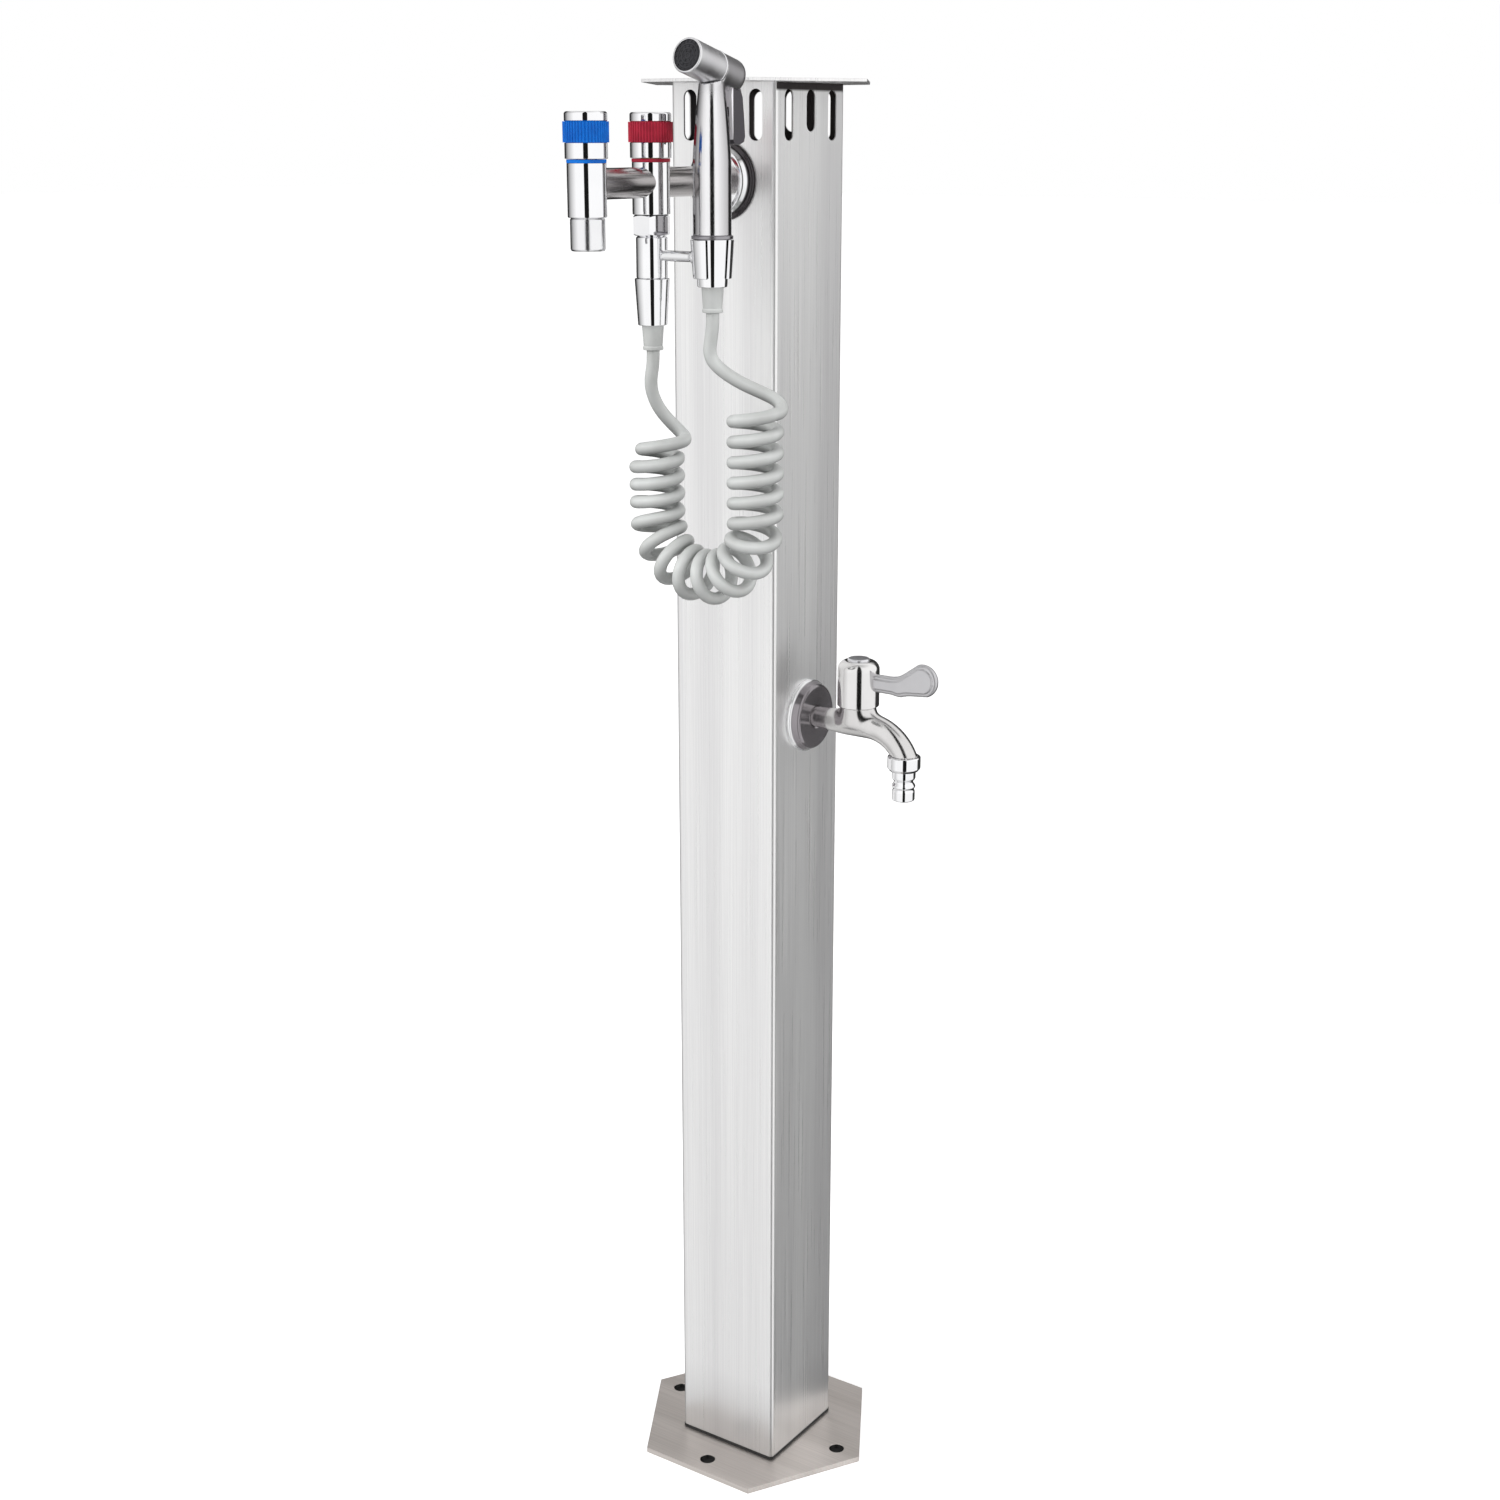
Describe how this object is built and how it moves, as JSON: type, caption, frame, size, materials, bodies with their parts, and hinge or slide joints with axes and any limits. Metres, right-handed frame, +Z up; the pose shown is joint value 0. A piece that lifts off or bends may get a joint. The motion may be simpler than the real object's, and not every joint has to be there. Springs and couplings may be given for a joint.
{
  "type": "garden standpipe",
  "caption": "Square steel garden post with a hexagonal foot and lid, upright mixer valves, a hand sprayer on a curled hose in a side clip, and a bib tap.",
  "frame": {"origin": "on the post's axis, in the underside of the foot plate, where the part stands on the ground", "axes": "+Z up, -Y towards the front face with the upright valves, +X towards the right face with the bib tap"},
  "size_m": [0.2325, 0.2693, 0.9974],
  "materials": {
    "post_steel": "brushed along the post",
    "foot_steel": "brushed, warm tone",
    "gasket_rubber": "matt",
    "fastener_steel": "fine",
    "brass": "plain turned",
    "pipe_steel": "drawn pipe",
    "chrome": "polished",
    "lever_chrome": "satin",
    "blue_plastic": "glossy",
    "red_plastic": "glossy",
    "ceramic": "ground",
    "hose_plastic": "matt",
    "dark_plastic": "satin",
    "face_rubber": "matt"
  },
  "bodies": {
    "standpipe": {"base_plate": "foot_steel", "foot_gasket": "gasket_rubber", "post_tube": "post_steel", "post_screws": "fastener_steel", "top_plate": "post_steel", "inlet_fitting": "brass", "riser_lower": "pipe_steel", "bib_tee": "brass", "riser_upper": "pipe_steel", "top_elbow": "brass", "valve_wall_nut": "brass", "bib_wall_nut": "brass", "valve_cover": "chrome", "valve_body": "chrome", "plain_nozzle": "chrome", "blue_index_ring": "blue_plastic", "blue_cartridge": "brass", "red_index_ring": "red_plastic", "red_cartridge": "brass", "holder_nut": "chrome", "hose_adapter": "brass", "holder_bracket": "chrome", "holder_clip": "chrome", "valve_cone_nut": "chrome", "valve_ferrule": "hose_plastic", "hose_valve_lead": "hose_plastic", "hose_coil": "hose_plastic", "hose_sprayer_lead": "hose_plastic", "bib_cover": "chrome", "bib_body": "chrome", "bib_cartridge": "brass", "bib_nut": "chrome", "bib_tail": "chrome"},
    "blue_knob": {"blue_handle": "chrome", "blue_cap": "chrome", "blue_grip_ring": "blue_plastic", "blue_spindle": "brass", "blue_disc": "ceramic"},
    "red_knob": {"red_handle": "chrome", "red_cap": "chrome", "red_grip_ring": "red_plastic", "red_spindle": "brass", "red_disc": "ceramic"},
    "bib_lever": {"bib_handle": "lever_chrome", "bib_cap": "chrome", "bib_spindle": "brass", "bib_disc": "ceramic"},
    "sprayer": {"sprayer_ferrule": "hose_plastic", "sprayer_cone_nut": "chrome", "sprayer_flange": "dark_plastic", "sprayer_handle": "chrome", "head_ring": "chrome", "head_sleeve": "chrome", "spray_face": "face_rubber", "trigger_pin": "fastener_steel", "plunger_spring": "fastener_steel"},
    "trigger": {"trigger": "dark_plastic"},
    "plunger": {"sprayer_plunger": "fastener_steel"}
  },
  "joints": [
    {"name": "blue_turn", "type": "hinge", "parent": "standpipe", "child": "blue_knob", "pos_m": [0, -0.177, 0.944], "axis": [0, 0, 1], "range_deg": [0, 90]},
    {"name": "red_turn", "type": "hinge", "parent": "standpipe", "child": "red_knob", "pos_m": [0, -0.115, 0.944], "axis": [0, 0, 1], "range_deg": [0, 90]},
    {"name": "bib_turn", "type": "hinge", "parent": "standpipe", "child": "bib_lever", "pos_m": [0.081, 0, 0.6], "axis": [0, 0, 1], "range_deg": [0, 90]},
    {"name": "sprayer_lift", "type": "slide", "parent": "standpipe", "child": "sprayer", "axis": [0, 0, 1], "range_m": [0, 0.05]},
    {"name": "trigger_press", "type": "hinge", "parent": "sprayer", "child": "trigger", "pos_m": [0.045, -0.0985, 0.9715], "axis": [-1, 0, 0], "range_deg": [0, 5], "stiffness_Nm_per_rad": 0.5, "springref_deg": -8.59},
    {"name": "plunger_push", "type": "slide", "parent": "sprayer", "child": "plunger", "axis": [0, -1, 0], "range_m": [0, 0.0019], "deforming": ["plunger_spring"]}
  ],
  "couplings": [
    {"joint": "plunger_push", "follows": "trigger_press", "m_per_rad": 0.0215}
  ]
}
